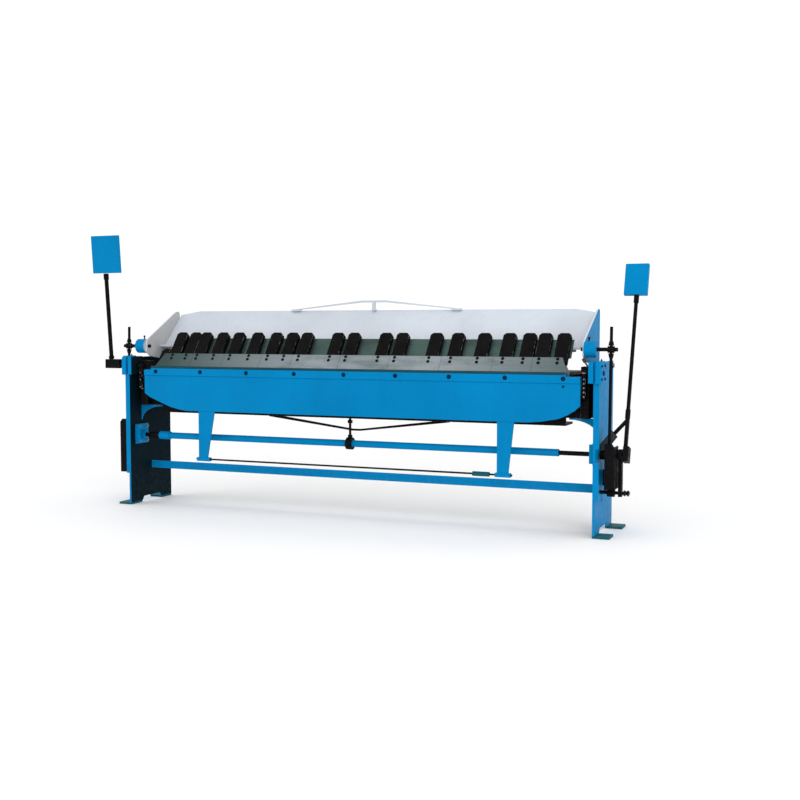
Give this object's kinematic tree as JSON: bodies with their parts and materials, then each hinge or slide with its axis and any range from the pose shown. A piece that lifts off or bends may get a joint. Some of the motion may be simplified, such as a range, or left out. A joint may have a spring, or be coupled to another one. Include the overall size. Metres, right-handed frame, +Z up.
{
  "type": "sheet metal brake",
  "caption": "Floor-standing manual box-and-pan sheet metal brake: hinged bending apron, lifting clamping beam with segmented fingers, weighted lever and apron counterweight.",
  "frame": {"origin": "centre of the bottom of the bounding box, on the floor under the four feet", "axes": "+X along the bend from the counterweight end to the lever end, +Y from the operator's side to the back, +Z up"},
  "size_m": [3.2356, 0.4978, 1.6063],
  "materials": {
    "blue_paint": "gloss enamel, slightly worn at the edges",
    "black_paint": "satin black",
    "grey_paint": "satin light grey",
    "ground_steel": "ground along its length, lightly oiled",
    "dark_steel": "oiled, unpainted",
    "teal_paint": "satin"
  },
  "bodies": {
    "stand": {"left_side_frame": "blue_paint", "right_side_frame": "blue_paint", "left_pivot_housing": "blue_paint", "right_pivot_housing": "blue_paint", "left_shaft_bearing": "blue_paint", "right_shaft_bearing": "blue_paint", "left_crank_guard": "black_paint", "right_crank_guard": "black_paint", "left_beam_hinge_pin": "dark_steel", "right_beam_hinge_pin": "dark_steel", "left_bed_block": "black_paint", "right_bed_block": "black_paint", "left_bed_gusset": "blue_paint", "right_bed_gusset": "blue_paint", "outboard_bearing": "black_paint", "bed_beam": "black_paint", "bed_edge_bar": "ground_steel", "bed_truss_rod": "black_paint", "torque_hanger": "black_paint", "tie_rail": "blue_paint"},
    "apron": {"apron_plate": "blue_paint", "bending_bar": "blue_paint", "apron_stiffener": "blue_paint", "left_apron_leg": "blue_paint", "right_apron_leg": "blue_paint", "left_apron_shaft": "black_paint", "right_apron_shaft": "black_paint", "left_tie_rod": "dark_steel", "right_tie_rod": "dark_steel", "apron_weight_arm": "black_paint", "apron_weight": "blue_paint"},
    "turnbuckle": {"turnbuckle": "teal_paint"},
    "clamp_beam": {"clamp_girder": "grey_paint", "left_beam_cheek": "grey_paint", "right_beam_cheek": "blue_paint", "finger_rail": "ground_steel", "clamp_truss": "grey_paint", "finger_01": "ground_steel", "finger_02": "ground_steel", "finger_03": "ground_steel", "finger_04": "ground_steel", "finger_05": "ground_steel", "finger_06": "ground_steel", "finger_07": "ground_steel", "finger_08": "ground_steel", "finger_09": "ground_steel", "finger_10": "ground_steel"},
    "left_pull_rod": {"left_trunnion_pin": "black_paint", "left_pull_rod": "black_paint", "left_lock_nut": "black_paint"},
    "right_pull_rod": {"right_trunnion_pin": "black_paint", "right_pull_rod": "black_paint", "right_lock_nut": "black_paint"},
    "left_clamp_nut": {"left_clamp_nut": "black_paint"},
    "right_clamp_nut": {"right_clamp_nut": "black_paint"},
    "clamp_shaft": {"torque_shaft": "blue_paint", "left_crank": "black_paint", "right_crank": "black_paint", "lever": "black_paint", "lever_weight": "blue_paint"}
  },
  "joints": [
    {"name": "apron_swing", "type": "hinge", "parent": "stand", "child": "apron", "pos_m": [0.02675, -0.17907, 0.832], "axis": [-1, 0, 0], "range_deg": [0, 120]},
    {"name": "beam_lift", "type": "hinge", "parent": "stand", "child": "clamp_beam", "pos_m": [0.02675, 0.16693, 0.86], "axis": [-1, 0, 0], "range_deg": [0, 9]},
    {"name": "clamp_lever_swing", "type": "hinge", "parent": "stand", "child": "clamp_shaft", "pos_m": [0.02675, -0.11007, 0.414], "axis": [-1, 0, 0], "range_deg": [0, 60.2]},
    {"name": "left_pull_rod_tilt", "type": "hinge", "parent": "clamp_beam", "child": "left_pull_rod", "pos_m": [-1.43725, -0.13257, 0.95], "axis": [-1, 0, 0], "range_deg": [-8, 0]},
    {"name": "right_pull_rod_tilt", "type": "hinge", "parent": "clamp_beam", "child": "right_pull_rod", "pos_m": [1.49075, -0.13257, 0.95], "axis": [-1, 0, 0], "range_deg": [-8, 0]},
    {"name": "left_clamp_nut_turn", "type": "hinge", "parent": "left_pull_rod", "child": "left_clamp_nut", "pos_m": [-1.43725, -0.13161, 0.98098], "axis": [0, 0.031, 0.9995], "continuous": true},
    {"name": "right_clamp_nut_turn", "type": "hinge", "parent": "right_pull_rod", "child": "right_clamp_nut", "pos_m": [1.49075, -0.13161, 0.98098], "axis": [0, 0.031, 0.9995], "continuous": true},
    {"name": "turnbuckle_turn", "type": "hinge", "parent": "apron", "child": "turnbuckle", "pos_m": [0.82825, -0.20307, 0.295], "axis": [1, 0, 0], "continuous": true}
  ],
  "couplings": [
    {"joint": "clamp_lever_swing", "follows": "beam_lift", "ratio": 6.6667},
    {"joint": "left_pull_rod_tilt", "follows": "beam_lift", "ratio": -0.76},
    {"joint": "right_pull_rod_tilt", "follows": "beam_lift", "ratio": -0.76}
  ]
}
